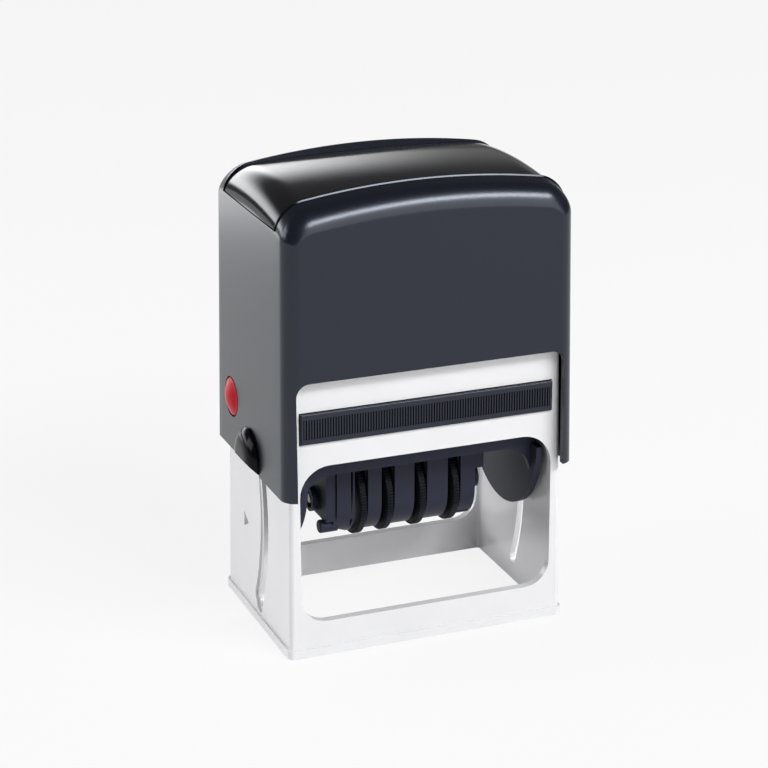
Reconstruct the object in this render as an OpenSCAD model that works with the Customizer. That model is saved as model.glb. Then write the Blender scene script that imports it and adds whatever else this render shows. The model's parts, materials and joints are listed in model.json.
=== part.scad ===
// Self-inking date stamp that stands on its frame, with a press-down shell.
// Millimetres. The origin is on the desk at the middle of the base, +Z is up
// and the front, where the ink pad is pulled out, faces -Y.

/* [Base frame] */
// Outer width of the frame at the desk
frame_w = 66; // [64:0.5:76]
// Outer depth of the frame at the desk
frame_d = 43.6; // [43:0.2:50]
// Wall thickness of the frame at the desk
frame_wall = 2.1; // [1.8:0.1:2.6]
// Inward slope of the moulded walls, mm per mm of height
draft = 0.0139; // [0.004:0.0005:0.016]
// Radius of the frame's upright corners
frame_corner_r = 1; // [0.4:0.1:2]
// Height of the lip round the foot
lip_h = 2; // [1:0.1:3]
// How far the lip stands out
lip_out = 0.5; // [0.2:0.1:1]
// Height of the window sills above the desk
sill_h = 8; // [6:0.5:10]
// Width of the frame beside each window
post_w = 2.85; // [2.4:0.05:4]
// Lower corner radius of the windows
window_low_r = 6; // [3:0.5:8]
// Upper corner radius of the windows
window_top_r = 7; // [3:0.5:9]
// Height of the window head above the axle
window_head = 4; // [3:0.25:5]
// Thickness of the deck above the ink pad
deck_t = 2; // [1.5:0.1:3]
// Height of the frame's rim above the deck
rim_h = 6.2; // [4:0.1:9]
// Thickness of the ribs that stop the yoke at the top
stop_t = 1.5; // [1:0.1:2]
// Place of the triangular marks in the side walls, behind the middle
mark_y = 7; // [4:0.25:9]
// Height of the triangular marks above the desk
mark_z = 21.6; // [14:0.2:28]
// Width of the triangular marks
mark_w = 3.3; // [2:0.1:5]
// Height of the triangular marks' upright side
mark_h = 3.6; // [2:0.1:6]
// Depth of the triangular marks
mark_depth = 0.9; // [0.4:0.1:1.1]

/* [Printing mechanism] */
// Height of the turning axle at rest
axle_z = 41; // [40:0.25:43]
// Distance from the axle to the printing face
die_reach = 9.3; // [8.5:0.1:10]
// Gap between the printing face and the pad at rest
pad_gap = 1.1; // [0.9:0.05:1.6]
// Printing face above the desk at the end of the stroke
print_clear = 0.3; // [0.1:0.05:0.8]
// Depth of the rubber printing plate, front to back
die_d = 28; // [24:0.5:29]
// Depth of the holder that carries it
holder_d = 32; // [30:0.5:33]
// Thickness of the holder's plate
holder_t = 2; // [1.5:0.1:2.5]
// Wall thickness of the holder's skirts
skirt_t = 1.5; // [1.2:0.1:2]
// How far the skirts reach below the axle
skirt_drop = 0.6; // [0.2:0.1:2]
// Radius of the fillets between skirts and cheeks
skirt_r = 6.5; // [4:0.25:8]
// Thickness of the holder's end cheeks
cheek_t = 1.5; // [1.2:0.1:2]
// Thickness of the rubber sheet
sheet_t = 1.3; // [1:0.1:1.8]
// Height of the raised printing lines
relief_h = 1; // [0.6:0.1:1.2]
// Width of the raised printing lines
relief_w = 1; // [0.5:0.1:1.5]
// Distance of the raised rules from the date, front and back
rule_y = 8; // [6:0.25:10]
// Distance from the axle to the guide pins
cam_r = 4.2; // [4.2:0.05:4.4]
// Radius of the guide pins
pin_r = 1.2; // [1:0.05:1.2]
// How far the guide pins stand out of the frame
pin_out = 0.6; // [0.3:0.05:0.8]
// Radius of the axle pins
axle_r = 1.6; // [1.3:0.05:1.6]
// Wall round the axle bore of the yoke
eye_wall = 1.05; // [0.8:0.05:1.05]
// Thickness of the yoke's arms
arm_t = 1.3; // [1.1:0.1:1.5]
// Width of the yoke's arms, front to back
arm_w = 5; // [4:0.25:6]
// Place of the arms' front edge behind the axle
arm_y = 7.5; // [6.5:0.25:8.5]
// Thickness of the yoke's top plate
yoke_t = 2; // [1.6:0.1:3]
// How far the yoke's top plate reaches in front of the axle
yoke_front = 10; // [9:0.25:14]
// Wall of the yoke's spring cup
cup_wall = 1.4; // [1:0.1:1.8]
// Height of the spring's seat above the shell's roof
cup_rise = 0.8; // [0.2:0.1:1]

/* [Dater] */
// Distance from the turning axle down to the wheels' axle
wheel_drop = 12.5; // [12:0.1:13]
// Outer radius of the thumb wheels
wheel_r = 9.4; // [9:0.1:9.6]
// Thickness of a thumb wheel's rim
wheel_t = 2.3; // [1.8:0.1:2.6]
// Depth of the wheels' teeth
tooth_h = 0.5; // [0.3:0.05:0.8]
// Number of teeth on a thumb wheel
tooth_count = 40; // [24:1:48]
// Places of the four thumb wheels across the stamp
wheel_x = [-10.5, -4, 4, 12.3]; // [-13:0.1:13]
// Widths of the four printing bands
band_w = [3.2, 4.6, 5, 3.2]; // [2.4:0.1:5.4]
// Thickness of the printing bands
band_t = 1; // [0.8:0.05:1.2]
// Half width of the bands' flat printing nose
nose_hw = 1.9; // [1.4:0.1:2.4]
// Inner bend radius of the bands at the nose
nose_bend = 0.5; // [0.3:0.05:0.8]
// Gap between a band and its thumb wheel
band_gap = 0.4; // [0.3:0.05:0.5]
// Outer radius of the dater's housing
housing_r = 8.4; // [8.2:0.1:8.6]
// Wall thickness of the dater's housing
housing_wall = 0.9; // [0.7:0.1:1]
// Height of the wheels' slots above their axle
slot_rise = 10; // [9:0.5:11]
// Width of the dater's housing
housing_w = 38.6; // [38.2:0.2:42]
// Thickness of the housing's end plates
end_t = 1.6; // [1.2:0.1:1.8]
// Radius of the wheels' axle
wheel_axle_r = 1; // [0.8:0.05:1.4]
// Radius of the clips on the wheels' axle
clip_r = 2; // [1.8:0.1:3]
// Thickness of the clips
clip_t = 0.6; // [0.5:0.1:1]

/* [Ink pad] */
// Height of the cartridge's grip bar
bar_h = 7.1; // [6.5:0.1:8.5]
// How far the grip bar hangs below the pad's face
bar_drop = 0.8; // [0.4:0.1:1]
// How far the grip bar stands out of the frame
bar_proud = 0.7; // [0.3:0.05:0.8]
// Depth of the grip bar, front to back
bar_d = 3; // [2.4:0.1:4]
// Width of the frame beside the grip bar
bar_side = 3; // [2.8:0.05:4]
// Depth of the grip bar's ribbed band
grip_depth = 0.3; // [0.1:0.05:0.5]
// Height of the smooth edges above and below the ribs
grip_edge = 1.3; // [0.8:0.1:2]
// Thickness of the ink pad's felt
felt_t = 3.2; // [2.5:0.1:4]
// How far the felt stands out of its tray
felt_proud = 0.5; // [0.3:0.05:0.8]
// Wall of the tray round the felt
tray_wall = 1.5; // [1:0.1:2.5]

/* [Press-down shell] */
// Wall thickness of the shell
shell_wall = 1.5; // [1.3:0.1:2]
// How far the shell reaches below the axle
shell_drop = 2.6; // [2:0.1:3]
// Radius of the shell's upright corners
shell_corner_r = 3.5; // [2.5:0.25:5]
// Width of the shell's legs beside the front opening
leg_w = 2.9; // [2.5:0.1:3.6]
// Upper corner radius of the front opening
cut_r = 3; // [1:0.25:5]
// Height of the frame that stays covered above the opening
cut_cover = 1; // [0.5:0.1:2]
// Radius of the shoulders at both ends of the top
shoulder_r = 7.5; // [7:0.25:8.5]
// Radius of the top's arch seen from the front
arch_r = 175; // [150:5:260]
// Radius of the top's front and rear edges
edge_r = 6; // [5:0.25:6.5]
// Radius of the top's arch seen from the side
side_arch_r = 125; // [115:5:160]
// Thickness of the roof under the top cover
roof_t = 1.7; // [1.4:0.1:2]
// Height of the top above the roof
crown_h = 5.3; // [5.2:0.05:5.35]
// Thickness of the top cover
cover_t = 1.8; // [1.7:0.05:1.85]
// Step from the shell's rims down to the cover
cover_sink = 0.9; // [0.7:0.1:1]
// Step from the shell's sides in to the cover
cover_inset = 0.6; // [0.3:0.1:0.8]
// Width of the shell's rim in front of and behind the cover
cover_rim = 6.2; // [5.6:0.1:7]
// Depth of the cover's sides below the roof
cover_drop = 2.4; // [1.5:0.1:3]

/* [Lock buttons] */
// Radius of the lock buttons
button_r = 4.65; // [4:0.05:5]
// Place of the lock buttons behind the axle
button_y = 12.5; // [12.5:0.1:13.5]
// Height of the lock buttons above the axle
button_rise = 10; // [9.5:0.25:12]
// Width of the flange that keeps a button in
button_flange = 0.75; // [0.5:0.05:0.9]
// Thickness of that flange
flange_t = 0.55; // [0.4:0.05:0.6]
// Depth of that flange below the shell's inner face
flange_sink = 0.2; // [0.1:0.05:0.25]
// Depth of a button's face below the shell's surface
button_sink = 0.3; // [0.2:0.05:0.4]
// Height of the button's domed face
button_dome = 0.3; // [0.1:0.05:0.35]

/* [Pin guards] */
// Radius of the guards over the guide pins
guard_r = 6.7; // [6.7:0.1:7]
// How far the guards bulge out
guard_h = 2.3; // [1.9:0.1:3]
// Wall of the guards round the pins
guard_wall = 0.95; // [0.7:0.05:0.95]

/* [Return spring] */
// Outer diameter of the coil
coil_od = 14; // [12:0.25:16]
// Diameter of the wire
wire_d = 1.3; // [1:0.1:1.6]
// Number of turns
coil_turns = 7; // [5:1:8]

/* [Screws] */
// Shank radius of the yoke's screws
screw_r = 1.2; // [1:0.05:1.5]
// Head radius of the yoke's screws
screw_head_r = 2.3; // [2:0.1:2.8]
// Head height of the yoke's screws
screw_head_h = 1.4; // [1:0.1:1.5]
// Width of the slot in a screw's head
screw_slot = 0.7; // [0.5:0.05:1]
// Distance of the screws from the middle, left and right
screw_x = 17; // [15:0.25:18]
// Distance of the front screws from the plate's front edge, and of the rear ones from its rear edge
screw_inset = 4; // [3.5:0.1:5]

/* [Fits] */
// Clearance between pieces that turn or slide past each other
run_gap = 0.3; // [0.2:0.05:0.3]
// Clearance of the turning holder inside the frame
sweep_gap = 0.4; // [0.3:0.05:0.6]
// Clearance of a shaft in its bore
bore_fit = 0.05; // [0.02:0.01:0.08]
// Clearance of a piece that is pressed or glued in
seat_fit = 0.02; // [0.01:0.01:0.05]
// Clearance between the shell's sides and the frame, fully pressed
slide_gap = 0.2; // [0.15:0.05:0.4]
// Clearance between the shell's front and the frame, fully pressed
front_gap = 1.35; // [1.2:0.05:2]
// Clearance of the ink cartridge in its slot
slot_gap = 0.15; // [0.1:0.05:0.3]
// Clearance above the ink cartridge
deck_gap = 0.6; // [0.3:0.05:1]
// Clearance between the yoke and the frame's rim, fully pressed
bottom_gap = 0.6; // [0.4:0.05:1]
// Clearance between the yoke and its stop ribs at rest
stop_gap = 0.2; // [0.1:0.05:0.3]

/* [Hidden] */
$fn = 64;
arch_fn = 720;
// extra length of a cutting tool past the face it cuts
cut = 1;
black = "#26272d";
satin_black = "#33343c";
white = "whitesmoke";

// heights, from the desk upwards
stroke = axle_z - die_reach - print_clear;
wheel_z = axle_z - wheel_drop;
window_top = axle_z + window_head;
die_face = axle_z + die_reach;
sheet_z = die_face - relief_h - sheet_t;
holder_z = sheet_z - holder_t;
pad_face = die_face + pad_gap;
bar_z = pad_face - bar_drop;
bar_top = bar_z + bar_h;
tray_z = pad_face + felt_proud;
deck_z = bar_top + deck_gap;
deck_top = deck_z + deck_t;
frame_h = deck_top + rim_h;
shell_z = axle_z - shell_drop;
cut_top = frame_h - cut_cover;
yoke_z = frame_h + stroke + bottom_gap;
roof_z = yoke_z + yoke_t;
roof_top = roof_z + roof_t;
seat_z = roof_top + cup_rise;
shell_top = roof_top + crown_h;
part_z = roof_z - cover_drop;
button_z = axle_z + button_rise;

// widths, from the frame's inner wall towards the middle
function frame_hw(z) = frame_w / 2 - draft * z;
function frame_hd(z) = frame_d / 2 - draft * z;
inner_hw = frame_w / 2 - frame_wall;
inner_hd = frame_d / 2 - frame_wall;
arm_out = inner_hw - run_gap;
arm_in = arm_out - arm_t;
cheek_out = arm_in - run_gap;
cheek_in = cheek_out - cheek_t;
cheek_r = inner_hd - sweep_gap;
sheet_hw = cheek_in - run_gap;
tray_hw = arm_in - run_gap - slot_gap;
bar_hw = frame_w / 2 - bar_side;
window_hw = frame_w / 2 - post_w;
arm_back = arm_y + arm_w;
eye_r = axle_r + bore_fit + eye_wall;

// shell, measured at its lower edge
shell_hw = frame_hw(shell_z - stroke) + slide_gap + shell_wall;
shell_hd = frame_hd(shell_z - stroke) + front_gap + shell_wall;
function shell_side(z) = shell_hw - draft * (z - shell_z);
function shell_front(z) = shell_hd - draft * (z - shell_z);
cut_hw = shell_hw - leg_w;
cover_hd = shell_front(shell_top) - cover_rim;
cover_hw = shell_hw - cover_inset;
cover_top = shell_top - cover_sink;

// ink cartridge
bar_front = frame_hd(bar_z) + bar_proud;
tray_front = bar_front - bar_d;
tray_back = frame_hd(bar_z);
felt_hw = tray_hw - tray_wall;

// guide pins, their cam slots and guards
pin_end = frame_w / 2 + pin_out;
slot_half = pin_r + run_gap;
guard_room = guard_r - guard_wall;
cam_steps = 24;
function cam_point(a) = [-cam_r * sin(a), axle_z - stroke * a / 180 + cam_r * cos(a)];
function cam_run(a) = [-cam_r * cos(a), -stroke / PI - cam_r * sin(a)];
function cam_edge(a, way) =
    let (run = cam_run(a)) cam_point(a) + way * slot_half * [-run[1], run[0]] / norm(run);

// lock buttons
button_seat = shell_side(button_z) - shell_wall + flange_sink + flange_t;
button_top = shell_side(button_z) - button_sink;

// dater
housing_hw = housing_w / 2;
end_in = housing_hw - end_t;
band_out_r = housing_r - housing_wall - run_gap;
hub_r = band_out_r - band_t - run_gap / 2;
nose_r = nose_bend + band_t;
nose_z = die_face - nose_r;
band_slot_hw = nose_hw + nose_r + 3 * run_gap;
function band_x(i) = wheel_x[i] + wheel_t / 2 + band_gap;
bridge_x0 = band_x(0) - band_gap;
bridge_x1 = band_x(3) + band_w[3] + band_gap;
clip_x = housing_hw + seat_fit;
axle_hw = clip_x + 2 * clip_t;

// yoke and spring
cup_r = coil_od / 2 + run_gap + cup_wall;
screw_rows = [-yoke_front + screw_inset, arm_back - screw_inset];
coil_r = (coil_od - wire_d) / 2;
coil_low = deck_top + wire_d / 2 + seat_fit;
coil_high = seat_z - wire_d / 2 - seat_fit;
coil_rings = 8;
wire_sides = 6;
post_r = coil_r * cos(180 / coil_rings) - wire_d / 2 - run_gap;

// a Y-Z outline drawn out from x0 to x1
module along_x(x0, x1) {
    translate([x0, 0, 0]) rotate([90, 0, 90]) linear_extrude(x1 - x0) children();
}

// an X-Z outline drawn out from y0 to y1
module along_y(y0, y1) {
    translate([0, y1, 0]) rotate([90, 0, 0]) linear_extrude(y1 - y0) children();
}

// a round bar along X, from x0 to x1
module rod(x0, x1, y, z, r) {
    translate([x0, y, z]) rotate([0, 90, 0]) cylinder(r = r, h = x1 - x0);
}

// a block between two corners
module block(low, high) {
    translate(low) cube(high - low);
}

module both_sides() {
    children();
    mirror([1, 0, 0]) children();
}

// a rectangle between two corners, with round corners
module rounded(x0, y0, x1, y1, r) {
    translate([x0 + r, y0]) square([x1 - x0 - 2 * r, y1 - y0]);
    translate([x0, y0 + r]) square([x1 - x0, y1 - y0 - 2 * r]);
    for (x = [x0 + r, x1 - r], y = [y0 + r, y1 - r]) translate([x, y]) circle(r);
}

// a pair of drafted walls, half width hw at the foot
module taper(hw, z0, z1) {
    top = hw - draft * (z1 - z0);
    polygon([[-hw, z0], [hw, z0], [top, z1], [-top, z1]]);
}

// a drafted block with round upright corners
module tapered_block(hw, hd, z0, z1, corner) {
    intersection() {
        along_y(-hd - cut, hd + cut) taper(hw, z0, z1);
        along_x(-hw - cut, hw + cut) taper(hd, z0, z1);
        translate([0, 0, z0]) linear_extrude(z1 - z0) rounded(-hw, -hd, hw, hd, corner);
    }
}

// middle of the shoulder that joins a drafted side to an arched top
function shoulder(hw, z0, top, r, arch) =
    let (k = 1 + draft * draft,
         reach = hw + draft * z0 - r * sqrt(k),
         low = top - arch,
         b = reach * draft + low,
         z = (b + sqrt(b * b - k * (reach * reach + low * low - (arch - r) * (arch - r)))) / k)
    [reach - draft * z, z];

// an outline with drafted sides, round shoulders and an arched top
module arched(hw, z0, top, r, arch) {
    mid = shoulder(hw, z0, top, r, arch);
    out = mid + r * [1, draft] / sqrt(1 + draft * draft);
    up = mid + r * (mid - [0, top - arch]) / norm(mid - [0, top - arch]);
    intersection() {
        translate([0, top - arch]) circle(arch, $fn = arch_fn);
        union() {
            polygon([[-hw, z0], [hw, z0], out, mid, up, [0, top + cut], [-up[0], up[1]],
                     [-mid[0], mid[1]], [-out[0], out[1]]]);
            for (side = [-1, 1]) translate([side * mid[0], mid[1]]) circle(r);
        }
    }
}

// the outer form of shell and cover together
module envelope() {
    intersection() {
        along_y(-shell_hd - cut, shell_hd + cut)
            arched(shell_hw, shell_z, shell_top, shoulder_r, arch_r);
        along_x(-shell_hw - cut, shell_hw + cut)
            arched(shell_hd, shell_z, shell_top, edge_r, side_arch_r);
        translate([0, 0, shell_z]) linear_extrude(shell_top - shell_z + cut)
            rounded(-shell_hw, -shell_hd, shell_hw, shell_hd, shell_corner_r);
    }
}

// half width inside the cover at a height on its shoulder
function cover_room(z) =
    let (mid = shoulder(cover_hw, shell_z, cover_top, shoulder_r, arch_r),
         r = shoulder_r - cover_t)
    mid[0] + sqrt(r * r - (z - mid[1]) * (z - mid[1]));
roof_hw = cover_room(roof_top) - run_gap;

module window_outline() {
    middle = (sill_h + window_top) / 2;
    rounded(-window_hw, sill_h, window_hw, middle + window_low_r, window_low_r);
    rounded(-window_hw, middle - window_top_r, window_hw, window_top, window_top_r);
}

// the way of the guide pins while the holder turns over on its way down
module cam_slot() {
    angles = [for (i = [0 : cam_steps]) 180 * i / cam_steps];
    back = [for (i = [cam_steps : -1 : 0]) 180 * i / cam_steps];
    polygon(concat([for (a = angles) cam_edge(a, 1)], [for (a = back) cam_edge(a, -1)]));
    for (a = [0, 180]) translate(cam_point(a)) circle(slot_half + bore_fit);
}

module frame_solid() {
    tapered_block(frame_w / 2, frame_d / 2, 0, frame_h, frame_corner_r);
    linear_extrude(lip_h)
        rounded(-frame_w / 2 - lip_out, -frame_d / 2 - lip_out,
                frame_w / 2 + lip_out, frame_d / 2 + lip_out, frame_corner_r + lip_out);
}

module base_frame() {
    sunk = frame_wall / 2;
    color(white) difference() {
        union() {
            difference() {
                frame_solid();
                block([-inner_hw, -inner_hd, -cut], [inner_hw, inner_hd, frame_h + cut]);
            }
            // deck over the ink cartridge, with a post that centres the spring
            block([-inner_hw - sunk / 2, -inner_hd - sunk / 2, deck_z],
                  [inner_hw + sunk / 2, inner_hd + sunk / 2, deck_top]);
            translate([0, 0, deck_z]) cylinder(r = post_r, h = frame_h - deck_z);
            // ribs that stop the yoke on its way up
            both_sides() block([arm_out - arm_t / 2, eye_r, axle_z + eye_r + stop_gap],
                               [inner_hw + sunk / 2, arm_y, axle_z + eye_r + stop_gap + stop_t]);
        }
        along_y(-frame_d, frame_d) window_outline();
        // slots for the ink cartridge in the front and rear walls
        block([-bar_hw - slot_gap, -frame_d, bar_z - slot_gap],
              [bar_hw + slot_gap, 0, bar_top + slot_gap]);
        block([-tray_hw - slot_gap, 0, tray_z - slot_gap],
              [tray_hw + slot_gap, frame_d, bar_top + slot_gap]);
        both_sides() {
            // way for the yoke's arms through the deck
            block([arm_in - run_gap, arm_y - run_gap, deck_z - cut],
                  [inner_hw, arm_back + run_gap, deck_top + cut]);
            along_x(inner_hw - cut, frame_w) cam_slot();
            // seat for a lock button that is pushed in
            rod(inner_hw - cut, frame_w, button_y, button_z, button_r + button_flange + run_gap);
            along_x(frame_hw(mark_z) - mark_depth, frame_w)
                polygon([[mark_y, mark_z], [mark_y + mark_w, mark_z - mark_h / 2],
                         [mark_y + mark_w, mark_z + mark_h / 2]]);
        }
    }
}

// outline of a pin guard's seat, open at the shell's lower edge
module guard_outline(r, z0) {
    translate([0, axle_z]) circle(r);
    translate([-r, z0]) square([2 * r, axle_z - z0]);
}

module outer_shell() {
    mouth_z = shell_z - cut;
    pocket_hd = cover_hd + slot_gap;
    color(satin_black) difference() {
        envelope();
        tapered_block(shell_side(mouth_z) - shell_wall, shell_front(mouth_z) - shell_wall,
                      mouth_z, roof_z, shell_corner_r - shell_wall);
        // bed of the top cover
        block([-shell_hw, -pocket_hd, roof_top], [shell_hw, pocket_hd, shell_top + cut]);
        both_sides() block([roof_hw, -pocket_hd, part_z],
                           [shell_hw + cut, pocket_hd, shell_top + cut]);
        // openings in front and behind
        along_y(-shell_hd - cut, shell_hd + cut)
            rounded(-cut_hw, mouth_z - 2 * cut_r, cut_hw, cut_top, cut_r);
        // roof holes for the spring cup and the yoke's screws
        translate([0, 0, roof_z - cut]) cylinder(r = cup_r + run_gap, h = roof_t + 2 * cut);
        screw_holes(screw_r + bore_fit);
        both_sides() {
            rod(0, shell_hw + cut, button_y, button_z, button_r + bore_fit);
            rod(0, button_seat, button_y, button_z, button_r + button_flange + bore_fit);
            along_x(inner_hw, shell_hw + cut) guard_outline(guard_r + seat_fit, mouth_z);
        }
    }
}

module top_cover() {
    color(black) intersection() {
        along_y(-cover_hd, cover_hd) difference() {
            arched(cover_hw, shell_z, cover_top, shoulder_r, arch_r);
            arched(cover_hw - cover_t, shell_z - cut, cover_top - cover_t, shoulder_r - cover_t,
                   arch_r - cover_t);
        }
        along_x(-shell_hw - cut, shell_hw + cut)
            arched(shell_hd, shell_z, cover_top, edge_r, side_arch_r);
        block([-shell_hw - cut, -shell_hd, part_z], [shell_hw + cut, shell_hd, shell_top + cut]);
    }
}

module screw_holes(r) {
    for (x = [-screw_x, screw_x], y = screw_rows)
        translate([x, y, yoke_z - cut]) cylinder(r = r, h = roof_top - yoke_z + 2 * cut);
}

module carrier_yoke() {
    color("dimgray") difference() {
        union() {
            block([-arm_out, -yoke_front, yoke_z], [arm_out, arm_back, roof_z]);
            translate([0, 0, yoke_z]) cylinder(r = cup_r, h = seat_z + cup_wall - yoke_z);
            both_sides() {
                block([arm_in, arm_y, axle_z - eye_r], [arm_out, arm_back, roof_z]);
                block([arm_in, 0, axle_z - eye_r], [arm_out, arm_back, axle_z + eye_r]);
                rod(arm_in, arm_out, 0, axle_z, eye_r);
            }
        }
        both_sides() rod(arm_in - cut, arm_out + cut, 0, axle_z, axle_r + bore_fit);
        translate([0, 0, yoke_z - cut]) cylinder(r = cup_r - cup_wall, h = seat_z - yoke_z + cut);
        screw_holes(screw_r + seat_fit);
    }
}

module yoke_screws() {
    color("silver") for (x = [-screw_x, screw_x], y = screw_rows) translate([x, y, 0])
        difference() {
            union() {
                translate([0, 0, yoke_z]) cylinder(r = screw_r, h = roof_top - yoke_z);
                translate([0, 0, roof_top]) cylinder(r = screw_head_r, h = screw_head_h);
            }
            translate([-screw_head_r - cut, -screw_slot / 2, roof_top + screw_head_h / 2])
                cube([2 * (screw_head_r + cut), screw_slot, screw_head_h]);
        }
}

// cap over the outer end of a guide pin, flat with a round rim, on the +X side
module pin_guard() {
    face = shell_side(axle_z);
    color(black) difference() {
        union() {
            along_x(face - shell_wall, face) guard_outline(guard_r, shell_z);
            translate([face, 0, axle_z]) rotate([0, 90, 0]) rotate_extrude() {
                square([guard_r - guard_h, guard_h]);
                intersection() {
                    translate([guard_r - guard_h, 0]) circle(guard_h);
                    square([guard_r, guard_h]);
                }
            }
        }
        block([0, -guard_r - cut, shell_z - guard_r], [face + guard_h + cut, guard_r + cut, shell_z]);
        along_x(inner_hw, pin_end + run_gap) guard_outline(guard_room, shell_z - cut);
    }
}

module pin_guard_left() { mirror([1, 0, 0]) pin_guard(); }
module pin_guard_right() { pin_guard(); }

// helix of the return spring, one ring of points after another
function coil_turn(i) = 360 * i / coil_rings;
function coil_point(i) =
    let (a = coil_turn(i), rise = (coil_high - coil_low) / (coil_turns * coil_rings))
    [coil_r * cos(a), coil_r * sin(a), coil_low + rise * i];
function wire_point(i, k) =
    let (a = coil_turn(i), b = 360 * k / wire_sides, r = wire_d / 2)
    coil_point(i) + r * [cos(b) * cos(a), cos(b) * sin(a), sin(b)];

module return_spring() {
    last = coil_turns * coil_rings;
    points = [for (i = [0 : last], k = [0 : wire_sides - 1]) wire_point(i, k)];
    function at(i, k) = i * wire_sides + k % wire_sides;
    sides = [for (i = [0 : last - 1], k = [0 : wire_sides - 1], half = [0, 1])
        half == 0 ? [at(i, k), at(i, k + 1), at(i + 1, k)]
                  : [at(i, k + 1), at(i + 1, k + 1), at(i + 1, k)]];
    low_end = [for (k = [1 : wire_sides - 2]) [at(0, 0), at(0, k + 1), at(0, k)]];
    high_end = [for (k = [1 : wire_sides - 2]) [at(last, 0), at(last, k), at(last, k + 1)]];
    gaps = [for (i = [0 : last], j = [i + coil_rings - 1 : last]) norm(coil_point(i) - coil_point(j))];
    echo(spring_least_gap = min(gaps) - wire_d);
    color("lightsteelblue") polyhedron(points, concat(sides, low_end, high_end));
}

// lock button on the +X side
module lock_button() {
    body = button_top - button_dome;
    dome_r = (button_r * button_r + button_dome * button_dome) / (2 * button_dome);
    color("crimson") union() {
        rod(button_seat - seat_fit - flange_t, button_seat - seat_fit, button_y, button_z,
            button_r + button_flange);
        rod(button_seat - flange_t, body, button_y, button_z, button_r);
        intersection() {
            translate([button_top - dome_r, button_y, button_z]) sphere(dome_r, $fn = arch_fn);
            rod(body - flange_t / 2, button_top + cut, button_y, button_z, button_r);
        }
    }
}

module lock_button_left() { mirror([1, 0, 0]) lock_button(); }
module lock_button_right() { lock_button(); }

module pad_tray() {
    color(satin_black) difference() {
        union() {
            block([-bar_hw, -bar_front, bar_z], [bar_hw, -tray_front, bar_top]);
            block([-tray_hw, -tray_front - bar_d / 2, tray_z], [tray_hw, tray_back, bar_top]);
        }
        // bed of the felt, and the band that holds the ribs
        block([-felt_hw - seat_fit, -tray_front + tray_wall - seat_fit, tray_z - cut],
              [felt_hw + seat_fit, tray_back - tray_wall + seat_fit, pad_face + felt_t]);
        block([-bar_hw + grip_edge / 2, -bar_front - cut, bar_z + grip_edge],
              [bar_hw - grip_edge / 2, -bar_front + grip_depth, bar_top - grip_edge]);
    }
}

module ink_pad() {
    color("midnightblue") block([-felt_hw, -tray_front + tray_wall, pad_face],
                                [felt_hw, tray_back - tray_wall, pad_face + felt_t]);
}

// outline of an end cheek
module cheek() {
    intersection() {
        translate([0, axle_z]) circle(cheek_r);
        translate([-cheek_r, axle_z - cheek_r]) square([2 * cheek_r, cheek_r]);
    }
    translate([-holder_d / 2, axle_z - cut]) square([holder_d, holder_z - axle_z + cut]);
}

// outline of a skirt with a fillet at each end
module skirt() {
    low = axle_z - skirt_drop;
    end = cheek_in + cheek_t / 2;
    difference() {
        translate([-end, low - skirt_r]) square([2 * end, holder_z - low + skirt_r]);
        translate([-cheek_in + skirt_r, low - skirt_r - cut])
            square([2 * (cheek_in - skirt_r), skirt_r + cut]);
        for (side = [-1, 1]) translate([side * (cheek_in - skirt_r), low - skirt_r]) circle(skirt_r);
    }
}

module die_holder() {
    color(black) difference() {
        union() {
            block([-cheek_out, -holder_d / 2, holder_z], [cheek_out, holder_d / 2, sheet_z]);
            both_sides() along_x(cheek_in, cheek_out) cheek();
            for (y = [-holder_d / 2, holder_d / 2 - skirt_t]) along_y(y, y + skirt_t) skirt();
        }
        block([bridge_x0, -band_slot_hw, holder_z - cut], [bridge_x1, band_slot_hw, sheet_z + cut]);
        both_sides() {
            rod(cheek_in - run_gap, cheek_out + cut, 0, axle_z, axle_r + seat_fit);
            rod(cheek_in - run_gap, cheek_out + cut, 0, axle_z + cam_r, pin_r + seat_fit);
        }
    }
}

module text_plate() {
    border = relief_w;
    color("firebrick") difference() {
        union() {
            block([-sheet_hw, -die_d / 2, sheet_z], [sheet_hw, die_d / 2, sheet_z + sheet_t]);
            difference() {
                block([-sheet_hw, -die_d / 2, sheet_z], [sheet_hw, die_d / 2, die_face]);
                block([-sheet_hw + border, -die_d / 2 + border, sheet_z + sheet_t],
                      [sheet_hw - border, die_d / 2 - border, die_face + cut]);
            }
            for (side = [-1, 1])
                block([bridge_x0, side * rule_y - relief_w / 2, sheet_z],
                      [bridge_x1, side * rule_y + relief_w / 2, die_face]);
        }
        block([bridge_x0, -band_slot_hw, sheet_z - cut], [bridge_x1, band_slot_hw, die_face + cut]);
    }
}

module axle_pins() {
    color("silver") both_sides() rod(cheek_in, arm_out, 0, axle_z, axle_r);
}

module guide_pins() {
    color("silver") both_sides() rod(cheek_in, pin_end, 0, axle_z + cam_r, pin_r);
}

// outline of the dater's housing, drawn in by a wall
module housing_outline(wall) {
    r = housing_r - wall;
    translate([0, wheel_z]) circle(r);
    translate([-r, wheel_z]) square([2 * r, holder_z - wheel_z]);
}

module dater_frame() {
    color(black) difference() {
        along_x(-housing_hw, housing_hw) housing_outline(0);
        along_x(-end_in, end_in) {
            housing_outline(housing_wall);
            translate([-housing_r + housing_wall, holder_z - cut])
                square([2 * (housing_r - housing_wall), 2 * cut]);
        }
        for (x = wheel_x) {
            rod(x - wheel_t / 2 - run_gap, x + wheel_t / 2 + run_gap, 0, wheel_z, wheel_r + run_gap);
            block([x - wheel_t / 2 - run_gap, -housing_r - cut, wheel_z],
                  [x + wheel_t / 2 + run_gap, 0, wheel_z + slot_rise]);
        }
        rod(-housing_hw - cut, housing_hw + cut, 0, wheel_z, wheel_axle_r + seat_fit);
    }
}

module wheel_axle() {
    color("silver") rod(-axle_hw, axle_hw, 0, wheel_z, wheel_axle_r);
}

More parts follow.
